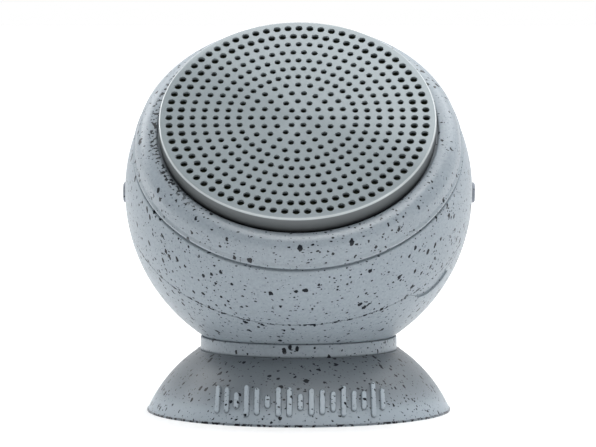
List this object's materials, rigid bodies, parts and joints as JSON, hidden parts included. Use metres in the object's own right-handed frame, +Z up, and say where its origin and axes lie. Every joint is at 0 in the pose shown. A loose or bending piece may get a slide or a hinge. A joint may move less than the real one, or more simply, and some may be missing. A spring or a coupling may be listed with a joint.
{
  "type": "shower speaker",
  "caption": "Ball-shaped waterproof wireless speaker with an upward-tilted round perforated grille, on a screw-on suction-cup base.",
  "frame": {"origin": "middle of the base on the surface that the suction cup stands on", "axes": "+Z up along the suction cup's axis; -Y is the front, where the grille looks up and out; +X is the object's left-to-right as seen from the front"},
  "size_m": [0.0856, 0.0829, 0.0939],
  "materials": {
    "base_silicone": "satin, speckled",
    "speckled_shell": "fine matte, black speckles",
    "speckled_button": "fine matte, black speckles",
    "flap_rubber": "matte, black speckles",
    "grille_metal": "satin, fine circular turning",
    "acoustic_cloth": "fine woven",
    "steel": "zinc plated",
    "brass": "turned",
    "black_rubber": "matte",
    "circuit_board": "solder mask",
    "basket_metal": "satin black",
    "cone_paper": "pressed fibre",
    "copper_coil": "enamelled wire",
    "spider_cloth": "resin-treated weave",
    "ferrite": "ground ceramic",
    "black_plastic": "moulded",
    "cell_foil": "foil wrap",
    "foam": "open cell",
    "lead_red": "soft insulation",
    "lead_black": "soft insulation"
  },
  "bodies": {
    "base": {"suction_cup": "base_silicone", "collar_ring": "speckled_shell", "base_stud": "steel"},
    "ball": {"threaded_insert": "brass", "rear_shell": "speckled_shell", "front_housing": "speckled_shell", "bezel_ring": "speckled_shell", "housing_seal": "black_rubber", "grille": "grille_metal", "grille_cloth": "acoustic_cloth", "usb_socket": "steel", "usb_board": "circuit_board", "driver_gasket": "black_rubber", "driver_basket": "basket_metal", "cone_surround": "black_rubber", "spider": "spider_cloth", "top_plate": "steel", "magnet": "ferrite", "yoke": "steel", "housing_screw_1": "steel", "housing_screw_2": "steel", "housing_screw_3": "steel", "housing_screw_4": "steel", "main_board": "circuit_board", "bluetooth_module": "steel", "amplifier_chip": "black_plastic", "power_inductor": "black_plastic", "battery_cell": "cell_foil", "battery_pad": "foam", "battery_cradle": "black_plastic", "speaker_lead_1": "lead_red", "speaker_lead_2": "lead_black", "left_switch": "black_plastic", "right_switch": "black_plastic"},
    "cone": {"speaker_cone": "cone_paper", "dust_cap": "cone_paper", "voice_coil": "copper_coil"},
    "left_button": {"left_button": "speckled_button"},
    "right_button": {"right_button": "speckled_button"},
    "port_flap": {"port_flap": "flap_rubber"}
  },
  "joints": [
    {"name": "base_twist", "type": "hinge", "parent": "base", "child": "ball", "pos_m": [0, 0, 0.0112], "axis": [0, 0, 1], "range_deg": [-180, 180]},
    {"name": "cone_slide", "type": "slide", "parent": "ball", "child": "cone", "axis": [0, -0.6858, 0.7278], "range_m": [-0.001, 0.001], "stiffness_N_per_m": 800, "deforming": ["cone_surround", "spider"]},
    {"name": "left_button_press", "type": "slide", "parent": "ball", "child": "left_button", "axis": [1, 0, 0], "range_m": [0, 0.0007], "stiffness_N_per_m": 1500},
    {"name": "right_button_press", "type": "slide", "parent": "ball", "child": "right_button", "axis": [-1, 0, 0], "range_m": [0, 0.0007], "stiffness_N_per_m": 1500},
    {"name": "port_flap_hinge", "type": "hinge", "parent": "ball", "child": "port_flap", "pos_m": [0.03049, -0.00936, 0.02583], "axis": [0.6428, 0.5575, 0.5254], "range_deg": [0, 110]}
  ]
}
